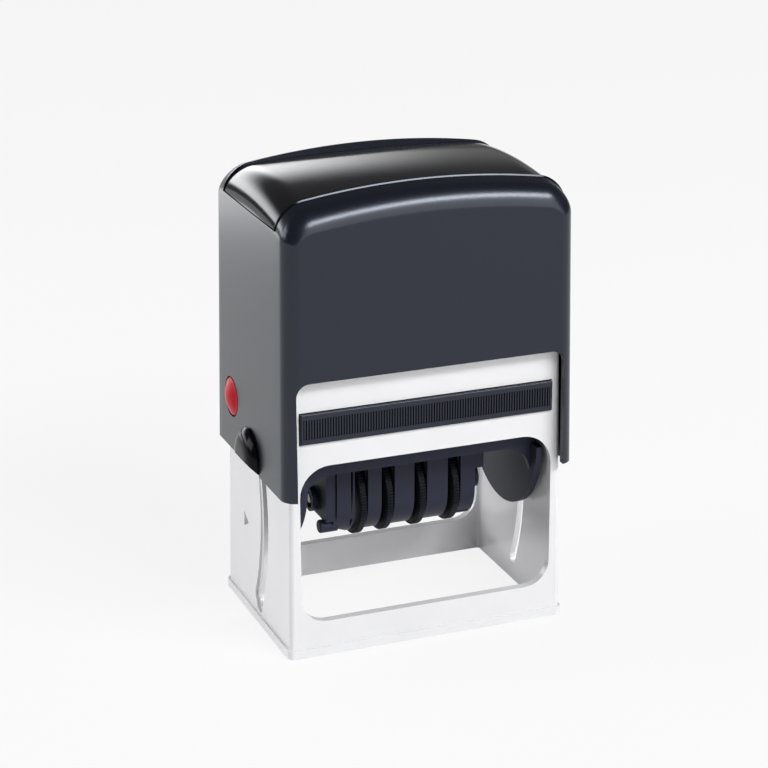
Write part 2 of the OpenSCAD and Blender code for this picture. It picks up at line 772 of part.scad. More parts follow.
module axle_clips() {
    color("silver") both_sides() difference() {
        rod(clip_x, clip_x + clip_t, 0, wheel_z, clip_r);
        rod(clip_x - cut, clip_x + clip_t + cut, 0, wheel_z, wheel_axle_r + seat_fit);
    }
}

module band_bridge() {
    color("gainsboro")
        block([bridge_x0, -nose_hw, holder_z], [bridge_x1, nose_hw, die_face - band_t - seat_fit]);
}

// outline round a thumb wheel's hub and the printing nose, drawn in by a wall
module band_outline(wall) {
    hub = [0, wheel_z];
    nose = [nose_hw, nose_z];
    big = band_out_r - wall;
    small = nose_r - wall;
    way = nose - hub;
    turn = atan2(way[1], way[0]) - acos((big - small) / norm(way));
    low = hub + big * [cos(turn), sin(turn)];
    high = nose + small * [cos(turn), sin(turn)];
    polygon([low, high, nose + [0, small], [-nose_hw, nose_z + small], [-high[0], high[1]],
             [-low[0], low[1]]]);
    translate(hub) circle(big);
    for (side = [-1, 1]) translate([side * nose_hw, nose_z]) circle(small);
}

module date_band(i) {
    color("#3a3a40") along_x(band_x(i), band_x(i) + band_w[i]) difference() {
        band_outline(0);
        band_outline(band_t);
    }
}

module day_tens_band() { date_band(0); }
module day_units_band() { date_band(1); }
module month_band() { date_band(2); }
module year_band() { date_band(3); }

// thumb wheel with its teeth, and the hub that carries the band
module date_wheel(i) {
    step = 360 / tooth_count;
    root = wheel_r - tooth_h;
    rim = [for (k = [0 : tooth_count - 1], part = [0 : 3])
        let (r = part == 1 || part == 2 ? wheel_r : root, a = (k + part / 4) * step)
        [r * cos(a), wheel_z + r * sin(a)]];
    color(black) difference() {
        union() {
            along_x(wheel_x[i] - wheel_t / 2, wheel_x[i] + wheel_t / 2) polygon(rim);
            rod(wheel_x[i], band_x(i) + band_w[i], 0, wheel_z, hub_r);
        }
        rod(wheel_x[i] - wheel_t, band_x(i) + band_w[i] + cut, 0, wheel_z, wheel_axle_r + bore_fit);
    }
}

module day_tens_wheel() { date_wheel(0); }
module day_units_wheel() { date_wheel(1); }
module month_wheel() { date_wheel(2); }
module year_wheel() { date_wheel(3); }

base_frame();
outer_shell();
top_cover();
carrier_yoke();
yoke_screws();
pin_guard_left();
pin_guard_right();
return_spring();
lock_button_left();
lock_button_right();
pad_tray();
ink_pad();
die_holder();
text_plate();
axle_pins();
guide_pins();
dater_frame();
wheel_axle();
axle_clips();
band_bridge();
day_tens_band();
day_units_band();
month_band();
year_band();
day_tens_wheel();
day_units_wheel();
month_wheel();
year_wheel();
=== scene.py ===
# Self-inking date stamp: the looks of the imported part, in a white studio.
# Shapes are modelled in millimetres and become metres when a piece is finished.
import json
import math
import bmesh
import bpy
from mathutils import Matrix, Vector, noise

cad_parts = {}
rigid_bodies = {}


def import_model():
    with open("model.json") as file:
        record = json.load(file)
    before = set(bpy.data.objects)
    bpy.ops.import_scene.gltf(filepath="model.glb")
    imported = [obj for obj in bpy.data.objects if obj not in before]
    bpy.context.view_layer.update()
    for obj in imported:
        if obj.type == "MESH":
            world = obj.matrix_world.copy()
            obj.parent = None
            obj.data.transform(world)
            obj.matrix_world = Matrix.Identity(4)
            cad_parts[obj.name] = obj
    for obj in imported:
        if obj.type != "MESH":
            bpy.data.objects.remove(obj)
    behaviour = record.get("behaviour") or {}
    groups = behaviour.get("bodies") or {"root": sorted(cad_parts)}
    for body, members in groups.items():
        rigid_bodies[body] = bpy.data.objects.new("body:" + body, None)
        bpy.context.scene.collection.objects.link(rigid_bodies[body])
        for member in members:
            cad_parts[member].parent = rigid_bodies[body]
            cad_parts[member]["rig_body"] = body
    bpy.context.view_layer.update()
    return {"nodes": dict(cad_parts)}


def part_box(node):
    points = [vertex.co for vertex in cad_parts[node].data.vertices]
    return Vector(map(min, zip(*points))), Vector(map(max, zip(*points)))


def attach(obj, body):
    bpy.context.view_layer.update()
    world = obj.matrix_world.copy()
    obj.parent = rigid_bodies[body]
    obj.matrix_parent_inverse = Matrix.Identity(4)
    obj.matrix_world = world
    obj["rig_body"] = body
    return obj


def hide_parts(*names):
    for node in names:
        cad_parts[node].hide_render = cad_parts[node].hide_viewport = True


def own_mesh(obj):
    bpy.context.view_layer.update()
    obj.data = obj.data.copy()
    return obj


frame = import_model()
scene = bpy.context.scene
mm = 0.001


def nodeBox(node):
    low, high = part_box(node)
    return low / mm, high / mm


# Materials

def linearColour(hexCode):
    channels = [int(hexCode[i:i + 2], 16) / 255 for i in (1, 3, 5)]
    return [c / 12.92 if c <= 0.04045 else ((c + 0.055) / 1.055) ** 2.4 for c in channels] + [1]


def addNode(tree, kind, values=None, links=None, **settings):
    node = tree.nodes.new(kind)
    for name, value in settings.items():
        setattr(node, name, value)
    for name, value in (values or {}).items():
        node.inputs[name].default_value = value
    for name, socket in (links or {}).items():
        tree.links.new(socket, node.inputs[name])
    return node


# two close colours in soft clouds, an uneven gloss and a fine relief, as on any moulded or drawn piece
def surface(name, look, **sockets):
    material = bpy.data.materials.new(name)
    material.use_nodes = True
    tree = material.node_tree
    shader = tree.nodes["Principled BSDF"]
    for socket, value in sockets.items():
        shader.inputs[socket.replace("_", " ")].default_value = value
    spot = addNode(tree, "ShaderNodeTexCoord").outputs["Object"]
    stretch = addNode(tree, "ShaderNodeMapping", {"Scale": look.get("stretch", (1, 1, 1))}, {"Vector": spot})
    clouds = addNode(tree, "ShaderNodeTexNoise", {"Scale": 1 / (look["cloudMm"] * mm), "Detail": 2},
                     {"Vector": spot})
    tint = addNode(tree, "ShaderNodeValToRGB", None, {"Fac": clouds.outputs["Fac"]})
    tint.color_ramp.elements[0].color = linearColour(look["dark"])
    tint.color_ramp.elements[1].color = linearColour(look["light"])
    grain = addNode(tree, "ShaderNodeTexNoise", {"Scale": 1 / (look["grainMm"] * mm), "Detail": 3},
                    {"Vector": stretch.outputs["Vector"]})
    gloss = addNode(tree, "ShaderNodeMapRange", {"To Min": look["smooth"], "To Max": look["rough"]},
                    {"Value": grain.outputs["Fac"]})
    bump = addNode(tree, "ShaderNodeBump", {"Strength": look["relief"], "Distance": look["depthMm"] * mm},
                   {"Height": grain.outputs["Fac"]})
    tree.links.new(tint.outputs["Color"], shader.inputs["Base Color"])
    tree.links.new(gloss.outputs["Result"], shader.inputs["Roughness"])
    tree.links.new(bump.outputs["Normal"], shader.inputs["Normal"])
    return material


# a blue tint painted into the reflections of the shell and its cover, standing in for a bluish light
paintedBlueSheen = (0.8, 0.87, 1, 1)

# ABS from a spark-eroded mould: blue-black, with a soft broad sheen over a fine grain and a painted blue tint
# in its reflections.
# The real grain is about 0.1 mm; it is drawn at 0.35 mm so that it shows.
satinBlackAbs = surface("satinBlackAbs", {
    "dark": "#0d0f1b", "light": "#10121f", "cloudMm": 14, "grainMm": 0.35,
    "smooth": 0.18, "rough": 0.30, "relief": 0.14, "depthMm": 0.02}, IOR=1.53, Specular_IOR_Level=0.52,
    Specular_Tint=paintedBlueSheen)

# ABS from a polished mould: deep black with sharp reflections, with a painted blue tint in them
glossBlackAbs = surface("glossBlackAbs", {
    "dark": "#08080c", "light": "#0d0d12", "cloudMm": 18, "grainMm": 2.5,
    "smooth": 0.08, "rough": 0.16, "relief": 0.05, "depthMm": 0.02}, IOR=1.53, Specular_IOR_Level=0.28,
    Specular_Tint=paintedBlueSheen)

# the same black with its reflections turned down, painted shade that keeps the pin guards dark: black with
# small soft highlights
dimReflectionBlackAbs = surface("dimReflectionBlackAbs", {
    "dark": "#07070b", "light": "#0b0b10", "cloudMm": 6, "grainMm": 1.2,
    "smooth": 0.12, "rough": 0.2, "relief": 0.05, "depthMm": 0.02}, IOR=1.53, Specular_IOR_Level=0.1)

# ABS moulded plain: dull black, darker than the dater's charcoal, for the thumb wheels
darkWheelAbs = surface("darkWheelAbs", {
    "dark": "#14151d", "light": "#1a1b25", "cloudMm": 3, "grainMm": 0.4,
    "smooth": 0.4, "rough": 0.55, "relief": 0.3, "depthMm": 0.02}, IOR=1.53, Specular_IOR_Level=0.15)

# ABS moulded plain: charcoal, even and dull, for the turning dater inside
charcoalAbs = surface("charcoalAbs", {
    "dark": "#2a2c3a", "light": "#303241", "cloudMm": 8, "grainMm": 0.4,
    "smooth": 0.36, "rough": 0.5, "relief": 0.3, "depthMm": 0.02}, IOR=1.53, Specular_IOR_Level=0.12)

# white ABS from a polished mould: bright, with soft reflections and faint flow clouds
whiteAbs = surface("whiteAbs", {
    "dark": "#e2e2e5", "light": "#ededef", "cloudMm": 20, "grainMm": 1.6,
    "smooth": 0.16, "rough": 0.26, "relief": 0.04, "depthMm": 0.02}, IOR=1.53)

# red ABS, polished: saturated, with a small clear highlight
redAbs = surface("redAbs", {
    "dark": "#b01228", "light": "#c4182f", "cloudMm": 4, "grainMm": 0.8,
    "smooth": 0.24, "rough": 0.34, "relief": 0.05, "depthMm": 0.01}, IOR=1.53, Specular_IOR_Level=0.1)

# acetal: slippery dark grey, slightly waxy
greyAcetal = surface("greyAcetal", {
    "dark": "#2b2d34", "light": "#34363d", "cloudMm": 9, "grainMm": 0.8,
    "smooth": 0.34, "rough": 0.46, "relief": 0.1, "depthMm": 0.02}, IOR=1.48)

# zinc-plated steel: pale grey metal with fine turning marks across X
zincSteel = surface("zincSteel", {
    "dark": "#7f8288", "light": "#96999f", "cloudMm": 3, "grainMm": 0.25, "stretch": (6, 1, 1),
    "smooth": 0.22, "rough": 0.4, "relief": 0.2, "depthMm": 0.01}, Metallic=1)

# oil-tempered spring wire: grey drawn steel
springSteel = surface("springSteel", {
    "dark": "#8d9096", "light": "#a8abb0", "cloudMm": 2, "grainMm": 0.3,
    "smooth": 0.25, "rough": 0.42, "relief": 0.2, "depthMm": 0.01}, Metallic=1)

# wool felt soaked with black ink: no gloss, short matted fibres
inkedFelt = surface("inkedFelt", {
    "dark": "#0f0e14", "light": "#1c1a26", "cloudMm": 1.2, "grainMm": 0.22,
    "smooth": 0.7, "rough": 0.95, "relief": 0.9, "depthMm": 0.12}, Sheen_Weight=0.35)

# laser-cut stamp rubber: dull brick red
redRubber = surface("redRubber", {
    "dark": "#8f3a31", "light": "#a2463b", "cloudMm": 5, "grainMm": 0.3,
    "smooth": 0.55, "rough": 0.72, "relief": 0.35, "depthMm": 0.03}, IOR=1.52)

# vulcanised band rubber: dark grey, dull, a little inked
bandRubber = surface("bandRubber", {
    "dark": "#26262b", "light": "#35353b", "cloudMm": 2.5, "grainMm": 0.3,
    "smooth": 0.5, "rough": 0.68, "relief": 0.3, "depthMm": 0.02}, IOR=1.52)
print("materials made")


# Shaping tools

def block(form, low, high):
    low, high = Vector(tuple(map(min, low, high))), Vector(tuple(map(max, low, high)))
    corners = bmesh.ops.create_cube(form, size=1)["verts"]
    bmesh.ops.scale(form, vec=high - low, verts=corners)
    bmesh.ops.translate(form, vec=(low + high) / 2, verts=corners)
    return corners


def rod(form, x0, x1, y, z, radius, segments=64):
    ring = bmesh.ops.create_cone(form, cap_ends=True, segments=segments, radius1=radius, radius2=radius,
                                 depth=abs(x1 - x0))["verts"]
    bmesh.ops.rotate(form, verts=ring, matrix=Matrix.Rotation(math.pi / 2, 3, "Y"))
    bmesh.ops.translate(form, vec=((x0 + x1) / 2, y, z), verts=ring)
    return ring


def post(form, x, y, z0, z1, radius, segments=48):
    ring = bmesh.ops.create_cone(form, cap_ends=True, segments=segments, radius1=radius, radius2=radius,
                                 depth=z1 - z0)["verts"]
    bmesh.ops.translate(form, vec=(x, y, (z0 + z1) / 2), verts=ring)
    return ring


def newVerts(geom):
    return [part for part in geom if isinstance(part, bmesh.types.BMVert)]


# pulls a flat face out into a solid
def drawOut(form, face, way):
    pulled = bmesh.ops.extrude_face_region(form, geom=[face])["geom"]
    bmesh.ops.translate(form, vec=way, verts=newVerts(pulled))


# an outline drawn along Y has x and z, one along X has y and z, and one along Z has x and y
def prism(form, outline, along, start, end):
    if along == "Y":
        corners = [form.verts.new((a, start, b)) for a, b in outline]
        way = (0, end - start, 0)
    elif along == "X":
        corners = [form.verts.new((start, a, b)) for a, b in outline]
        way = (end - start, 0, 0)
    else:
        corners = [form.verts.new((a, b, start)) for a, b in outline]
        way = (0, 0, end - start)
    face = form.faces.new(corners)
    drawOut(form, face, way)
    return corners


def roundCorners(form, corners, radius, segments=8):
    bmesh.ops.bevel(form, geom=corners, offset=radius, offset_type="OFFSET", segments=segments, profile=0.5,
                    affect="VERTICES", material=-1)


def roundEdges(form, edges, radius, segments=6):
    bmesh.ops.bevel(form, geom=list(edges), offset=radius, offset_type="OFFSET", segments=segments,
                    profile=0.5, affect="EDGES", material=-1)


def edgesAlong(form, axis):
    return [e for e in form.edges if abs((e.verts[0].co - e.verts[1].co).normalized()[axis]) > 0.99]


# a rectangle with round corners drawn along Y: low and high are (x, z)
def roundedPrism(form, low, high, lowRadius, topRadius, start, end):
    corners = [form.verts.new((x, start, z)) for x, z in
               ((low[0], low[1]), (high[0], low[1]), (high[0], high[1]), (low[0], high[1]))]
    form.faces.new(corners)
    if lowRadius:
        roundCorners(form, corners[:2], lowRadius)
    if topRadius:
        roundCorners(form, corners[2:], topRadius)
    face = [f for f in form.faces if abs(f.calc_center_median().y - start) < 0.01][-1]
    drawOut(form, face, (0, end - start, 0))


# cuts off what lies beyond a plane, and closes the cut
def sliceOff(form, place, away):
    bmesh.ops.bisect_plane(form, geom=form.verts[:] + form.edges[:] + form.faces[:], dist=0.0001,
                           plane_co=place, plane_no=away, clear_outer=True)
    bmesh.ops.holes_fill(form, edges=form.edges, sides=0)


def combine(form, tool, operation="DIFFERENCE"):
    stocks = []
    for part in (form, tool):
        bmesh.ops.recalc_face_normals(part, faces=part.faces)
        mesh = bpy.data.meshes.new("stock")
        part.to_mesh(mesh)
        part.free()
        stocks.append(bpy.data.objects.new("stock", mesh))
        scene.collection.objects.link(stocks[-1])
    cutter = stocks[0].modifiers.new("cutter", "BOOLEAN")
    cutter.object = stocks[1]
    cutter.operation = operation
    cutter.solver = "EXACT"
    shaped = stocks[0].evaluated_get(bpy.context.evaluated_depsgraph_get())
    result = bmesh.new()
    result.from_mesh(shaped.to_mesh())
    for stock in stocks:
        mesh = stock.data
        bpy.data.objects.remove(stock)
        bpy.data.meshes.remove(mesh)
    return result


# turns a run of (x, r) points round an X axis at y, z
def turned(form, run, y, z, steps=64):
    points = [form.verts.new((x, y, z + r)) for x, r in run]
    line = [form.edges.new(pair) for pair in zip(points, points[1:])]
    bmesh.ops.spin(form, geom=points + line, cent=(0, y, z), axis=(1, 0, 0), angle=2 * math.pi, steps=steps,
                   use_merge=True)
    bmesh.ops.remove_doubles(form, verts=form.verts, dist=0.0005)


def finishPiece(name, form, material, nodes, edge=0, softAngle=38):
    bmesh.ops.remove_doubles(form, verts=form.verts, dist=0.001)
    bmesh.ops.dissolve_degenerate(form, edges=form.edges, dist=0.001)
    bmesh.ops.recalc_face_normals(form, faces=form.faces)
    bmesh.ops.scale(form, vec=(mm, mm, mm), verts=form.verts)
    mesh = bpy.data.meshes.new(name)
    form.to_mesh(mesh)
    form.free()
    mesh.materials.append(material)
    mesh.shade_smooth()
    mesh.set_sharp_from_angle(angle=math.radians(softAngle))
    piece = bpy.data.objects.new(name, mesh)
    scene.collection.objects.link(piece)
    if edge:
        soft = piece.modifiers.new("softEdges", "BEVEL")
        soft.width = edge * mm
        soft.segments = 2
        soft.limit_method = "ANGLE"
        soft.angle_limit = math.radians(softAngle)
    even = piece.modifiers.new("evenShading", "WEIGHTED_NORMAL")
    even.keep_sharp = True
    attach(piece, frame["nodes"][nodes[0]]["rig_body"])
    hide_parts(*nodes)
    return piece


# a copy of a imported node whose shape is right, with its doubled points merged and its edges eased
def easedCopy(name, node, material, edge):
    form = bmesh.new()
    form.from_mesh(frame["nodes"][node].data)
    bmesh.ops.scale(form, vec=(1 / mm, 1 / mm, 1 / mm), verts=form.verts)
    bmesh.ops.remove_doubles(form, verts=form.verts, dist=0.001)
    bmesh.ops.dissolve_limit(form, angle_limit=math.radians(0.5), verts=form.verts, edges=form.edges)
    return finishPiece(name, form, material, [node], edge)


# Outer shell

shellLow, shellHigh = nodeBox("outer_shell")
shell = {
    "draft": 0.0139,          # inward slope of the walls
    "edgeRadius": 3.5,        # upright corners, and the start of the roll at the front and rear of the top
    "shoulderRadius": 7.5,
    "archRadius": 175,
    "crest": 107.5,           # where the arches would meet above the sunk cover
    "sideArch": 125,          # arch of the top seen from the side
    "crown": (92, 12),        # height where the fall to the front and rear begins, and over how much
    "edge": (17, 2.1),        # depth where the top begins to fall faster, and by how much at the end
    "wall": 1.5,
    "roofLow": 100.5,
    "roofTop": 102.2,
    "roomTaper": (2.3, 5.5),  # how far under the roof the room narrows, and by how much at each end
    "roofHalf": 28.5,
    "seam": 0.15,
    "partingZ": 98.1,
    "openingHalf": 31.7,
    "openingTop": 65.5,
    "openingRadius": 3,
    "cupHole": 9,
    "softEdge": 0.25,
    "shoulderSteps": 12,
    "archSteps": 40,
    "rows": 19,               # cuts across the top, for its fall to the front and rear
}
coverHigh = nodeBox("top_cover")[1]
over = 5    # how far a cutter runs past what it cuts


# an open run of edges: up the left side, over the shoulders and the arch, and down the right side
def archedRun(form, y, halfWidth, low, top, shoulder, arch):
    draft, rounds = shell["draft"], shell["shoulderSteps"]
    lean = math.sqrt(1 + draft * draft)
    reach = halfWidth + draft * low - shoulder * lean
    archZ = top - arch
    half = reach * draft + archZ
    rest = reach * reach + archZ * archZ - (arch - shoulder) ** 2
    z = (half + math.sqrt(half * half - lean * lean * rest)) / (lean * lean)
    x = reach - draft * z
    archTurn = math.atan2(x, z - archZ)
    shoulderTurn = math.pi / 2 - math.atan(draft) - archTurn
    start = form.verts.new((-halfWidth, y, low))
    end = form.verts.new((-x - shoulder / lean, y, z + shoulder * draft / lean))
    form.edges.new((start, end))
    for centre, turn, steps in (((-x, y, z), shoulderTurn, rounds),
                                ((0, y, archZ), 2 * archTurn, shell["archSteps"]),
                                ((x, y, z), shoulderTurn, rounds)):
        spun = bmesh.ops.spin(form, geom=[end], cent=centre, axis=(0, 1, 0), angle=turn, steps=steps)
        end = newVerts(spun["geom_last"])[0]
    last = form.verts.new((halfWidth, y, low))
    form.edges.new((end, last))
    return start, last


# the top falls towards the front and rear, and faster near the edge
def crown(form):
    start, rise = shell["crown"]
    edgeStart, edgeFall = shell["edge"]
    for point in form.verts:
        share = min(1, max(0, (point.co.z - start) / rise))
        share *= share * (3 - 2 * share)
        y = abs(point.co.y)
        past = max(0, y - edgeStart) / (shellHigh.y - edgeStart)
        point.co.z -= share * (y * y / (2 * shell["sideArch"]) + edgeFall * past * past)


def shellSolid():
    form = bmesh.new()
    depth = shellHigh.y
    start, last = archedRun(form, -depth, shellHigh.x, shellLow.z, shell["crest"], shell["shoulderRadius"],
                            shell["archRadius"])
    form.edges.new((last, start))
    face = bmesh.ops.contextual_create(form, geom=form.edges[:])["faces"][0]
    drawOut(form, face, (0, 2 * depth, 0))
    for point in form.verts:
        lean = shell["draft"] * (point.co.z - shellLow.z)
        point.co.y -= math.copysign(lean, point.co.y)
    rims = [e for e in form.edges if e.verts[0].co.y * e.verts[1].co.y > 0
            and max(v.co.z for v in e.verts) > shellLow.z + 0.01]
    roundEdges(form, rims, shell["edgeRadius"], 8)
    bars = [e for e in form.edges if e.verts[0].co.y * e.verts[1].co.y < 0 and e.calc_length() > depth]
    bmesh.ops.subdivide_edges(form, edges=bars, cuts=shell["rows"])
    crown(form)
    return form


def makeShell():
    form = shellSolid()
    room = bmesh.new()
    wall = shell["wall"]
    rise, narrowing = shell["roomTaper"]
    top = shell["roofLow"] - rise
    corners = block(room, (-shellHigh.x + wall, -shellHigh.y + wall, shellLow.z - over),
                    (shellHigh.x - wall, shellHigh.y - wall, top))
    lean = shell["draft"] * (top - shellLow.z)
    for corner in corners:
        if corner.co.z > shellLow.z:
            corner.co.x -= math.copysign(lean, corner.co.x)
            corner.co.y -= math.copysign(lean, corner.co.y)
    roundEdges(room, edgesAlong(room, 2), shell["edgeRadius"] - wall, 6)
    ceiling = [f for f in room.faces if f.calc_center_median().z > top - 0.01]
    lid = newVerts(bmesh.ops.extrude_face_region(room, geom=ceiling)["geom"])
    bmesh.ops.delete(room, geom=ceiling, context="FACES_ONLY")
    bmesh.ops.translate(room, vec=(0, 0, rise), verts=lid)
    depth = max(v.co.y for v in lid)
    bmesh.ops.scale(room, vec=(1, 1 - narrowing / depth, 1), verts=lid)
    form = combine(form, room)
    bed = bmesh.new()
    out, top, part = shellHigh.x + over, shell["crest"] + over, shell["partingZ"]
    roof, roofTop = shell["roofHalf"], shell["roofTop"]
    bedHalf = coverHigh.y + shell["seam"]
    prism(bed, [(-out, part), (-roof, part), (-roof, roofTop), (roof, roofTop), (roof, part), (out, part),
                (out, top), (-out, top)], "Y", -bedHalf, bedHalf)
    form = combine(form, bed)
    opening = bmesh.new()
    half = shell["openingHalf"]
    roundedPrism(opening, (-half, shellLow.z - over), (half, shell["openingTop"]), 0, shell["openingRadius"],
                 -shellHigh.y - over, shellHigh.y + over)
    form = combine(form, opening)
    holes = bmesh.new()
    post(holes, 0, 0, shell["roofLow"] - over, shell["roofTop"] + over, shell["cupHole"])
    rod(holes, -shellHigh.x - over, shellHigh.x + over, button["y"], button["z"],
        button["radius"] + button["gap"])
    form = combine(form, holes)
    seats = bmesh.new()
    for side in (-1, 1):
        prism(seats, guardOutline(guard["radius"] + guard["fit"], shellLow.z - over), "X",
              side * (shellHigh.x - guard["seatDepth"]), side * (shellHigh.x + over))
    form = combine(form, seats)
    finishPiece("outerShell", form, satinBlackAbs, ["outer_shell"], shell["softEdge"])


cover = {
    "thick": 0.8,
    "inset": 0.15,     # step in from the shell's sides
    "sink": 1.8,       # step down between the shell's front and rear rims, at the middle
    "arch": 420,       # flatter than the rims, so that the step runs out at the shoulders
    "bead": (0.32, 0.26),    # width and rise of the slanting edge that closes the seam at the front rim
}


# a sheet that follows the top between two depths, with its rim cut off at the parting line
def topSheet(front, back, inset, sink, arch, slant, thick, low):
    form = bmesh.new()
    archedRun(form, front, shellHigh.x - inset, shellLow.z, shell["crest"] - sink, shell["shoulderRadius"],
              arch)
    pulled = bmesh.ops.extrude_edge_only(form, edges=form.edges[:])["geom"]
    bmesh.ops.translate(form, vec=(0, back - front, 0), verts=newVerts(pulled))
    bmesh.ops.subdivide_edges(form, edges=edgesAlong(form, 1), cuts=max(1, int((back - front) / 2)))
    crown(form)
    bmesh.ops.recalc_face_normals(form, faces=form.faces)
    edge = {point.co.copy().freeze() for point in form.verts if point.co.y < front + 0.01}
    bmesh.ops.solidify(form, geom=form.faces[:], thickness=thick)
    for point in form.verts:
        if point.co.copy().freeze() in edge:
            point.co.z -= slant
    sliceOff(form, (0, 0, low), (0, 0, -1))
    return form


def makeCover():
    half, low = coverHigh.y, shell["partingZ"] + shell["seam"]
    form = topSheet(-half, half, cover["inset"], cover["sink"], cover["arch"], 0, cover["thick"], low)
    width, rise = cover["bead"]
    front = -half - shell["seam"]
    bead = topSheet(front, front + width, -rise, -rise, shell["archRadius"], rise,
                    rise + cover["sink"] + cover["thick"], low)
    form = combine(form, bead, "UNION")
    finishPiece("topCover", form, glossBlackAbs, ["top_cover"])


# Lock buttons and pin guards, in the shell's sides

buttonLow, buttonHigh = nodeBox("lock_button_right")
button = {
    "y": (buttonLow.y + buttonHigh.y) / 2,
    "z": (buttonLow.z + buttonHigh.z) / 2,
    "radius": 4.4,
    "gap": 0.3,
    "flange": 0.55,      # thickness of the flange inside the shell
    "frameHole": 5.7,    # radius of the hole in the white frame behind it
    "stand": 0.1,        # height of the rim above the shell's side
    "dome": 1.1,
    "rim": 0.35,         # rounding between the dome and the side
}


def makeButton(side):
    form = bmesh.new()
    radius, rim = button["radius"], button["rim"]
    flangeRadius = (buttonHigh.z - buttonLow.z) / 2
    edgeX = shellHigh.x - shell["draft"] * (button["z"] - shellLow.z) + button["stand"]
    run = [(buttonLow.x, 0), (buttonLow.x, flangeRadius), (buttonLow.x + button["flange"], flangeRadius),
           (buttonLow.x + button["flange"], radius)]
    run += [(edgeX - rim + rim * math.sin(a), radius - rim + rim * math.cos(a))
            for a in (math.pi / 2 * k / 6 for k in range(6))]
    run += [(edgeX + button["dome"] * (1 - (r / (radius - rim)) ** 2), r)
            for r in ((radius - rim) * (1 - k / 8) for k in range(9))]
    turned(form, run, button["y"], button["z"])
    bmesh.ops.scale(form, vec=(side, 1, 1), verts=form.verts)
    word = "left" if side < 0 else "right"
    finishPiece("lockButton" + word.title(), form, redAbs, ["lock_button_" + word])


guardLow, guardHigh = nodeBox("pin_guard_right")
guard = {
    "radius": 6.7,
    "z": 41.0,
    "fit": 0.02,           # clearance of the seat in the shell
    "seatDepth": 4.5,
    "bulge": 1.9,          # how far the dome's edge lies behind its middle
    "domePower": 5,        # a higher power gives a flatter middle and a rounder edge
    "skirtBack": 0.3,      # how far the straight skirt lies behind the dome's edge
    "room": 5.75,          # radius of the hollow for the pin's end
    "roomOut": 33.9,
    "edge": 0.15,
    "foot": (34.2, 2.6),   # where the slanting foot starts, and its rise to the outer face
}


def guardOutline(radius, low):
    arc = [(radius * math.cos(a), guard["z"] + radius * math.sin(a))
           for a in (math.pi * k / 32 for k in range(33))]
    return arc + [(-radius, low), (radius, low)]


def makeGuard(side):
    form = bmesh.new()
    out, radius, bulge = guardHigh.x, guard["radius"], guard["bulge"]
    run = [(guardLow.x, 0), (guardLow.x, radius)]
    run += [(out - bulge * math.cos(a) ** guard["domePower"], radius * math.cos(a))
            for a in (math.pi / 2 * k / 20 for k in range(20))]
    run += [(out, 0)]
    turned(form, run, 0, guard["z"])
    sliceOff(form, (0, 0, guardLow.z), (0, 0, -1))
    skirt = bmesh.new()
    block(skirt, (guardLow.x, -radius, guardLow.z), (out - bulge - guard["skirtBack"], radius, guard["z"]))
    form = combine(form, skirt, "UNION")
    room = bmesh.new()
    prism(room, guardOutline(guard["room"], guardLow.z - over), "X", guardLow.x - over, guard["roomOut"])
    form = combine(form, room)
    start, rise = guard["foot"]
    sliceOff(form, (start, 0, guardLow.z), (rise, 0, start - out))
    bmesh.ops.scale(form, vec=(side, 1, 1), verts=form.verts)
    word = "left" if side < 0 else "right"
    # the guards' material has its reflections turned down as painted shade
    finishPiece("pinGuard" + word.title(), form, dimReflectionBlackAbs, ["pin_guard_" + word],
                guard["edge"])


makeShell()
makeCover()
for side in (-1, 1):
    makeButton(side)
    makeGuard(side)
print("shell, cover, buttons and guards made")


# White base frame

frameLow, frameHigh = nodeBox("base_frame")
base = {
    "lipHeight": 2.0,
    "lipOut": 0.5,
    "wall": 2.1,
    "corner": 1.0,
    "innerCorner": 0.8,
    "sill": 8.0,
    "windowTop": 45.0,
    "windowHalf": 30.15,
    "windowLowRadius": 6.0,
    "windowTopRadius": 7.0,
    "deckLow": 58.3,
    "deckTop": 60.3,
    "armSlot": ((28.9, 7.2), (30.9, 12.8)),    # corners of the arms' way through the deck
    "padSlotHalf": 30.15,
    "padSlot": (50.45, 57.85),                 # heights of the slot in the front wall
    "traySlotHalf": 29.0,
    "traySlotLow": 51.75,
    "springPost": 4.9,
    "postRoot": 0.5,                           # how far the post starts inside the deck
    "slotPast": 0.2,                           # how far the arms' way starts below the deck
    "stopRib": ((29.95, 2.7, 43.9), (31.5, 7.5, 45.4)),
    "mark": ((7.0, 21.6), 3.3, 3.6, 0.9),      # tip, width, height and depth of the triangular marks
    "edge": 0.3,
}
cam = {
    "axleZ": 41.0,
    "radius": 4.2,
    "drop": 31.4,
    "half": 1.5,
    "rimHalf": 2.7,     # half width and depth of the sunk rim outside
    "rimDepth": 0.35,
    "middleZ": 25,      # height at which the rim has that depth in the sloping wall
    "tipShare": 0.98,   # rounding of the ends, as a share of the half width
    "steps": 24,
}


# the way of the guide pins, as an outline in y and z
def camOutline(half):
    sides = ([], [])
    for k in range(cam["steps"] + 1):
        a = math.pi * k / cam["steps"]
        middle = Vector((-cam["radius"] * math.sin(a),
                         cam["axleZ"] - cam["drop"] * a / math.pi + cam["radius"] * math.cos(a)))
        run = Vector((-cam["radius"] * math.cos(a), -cam["drop"] / math.pi - cam["radius"] * math.sin(a)))
        across = Vector((-run.y, run.x)).normalized() * half
        sides[0].append(middle + across)
        sides[1].append(middle - across)
    tip = Vector((0, half))
    return sides[0] + [sides[0][-1] - tip, sides[1][-1] - tip] + sides[1][::-1] + [sides[1][0] + tip,
                                                                                  sides[0][0] + tip]


def camCutter(half, inner):
    form = bmesh.new()
    for side in (-1, 1):
        prism(form, camOutline(half), "X", side * inner, side * (frameHigh.x + over))
    tips = [e for e in edgesAlong(form, 0) if e.calc_face_angle(0) > math.radians(60)]
    roundEdges(form, tips, half * cam["tipShare"], 6)
    return form


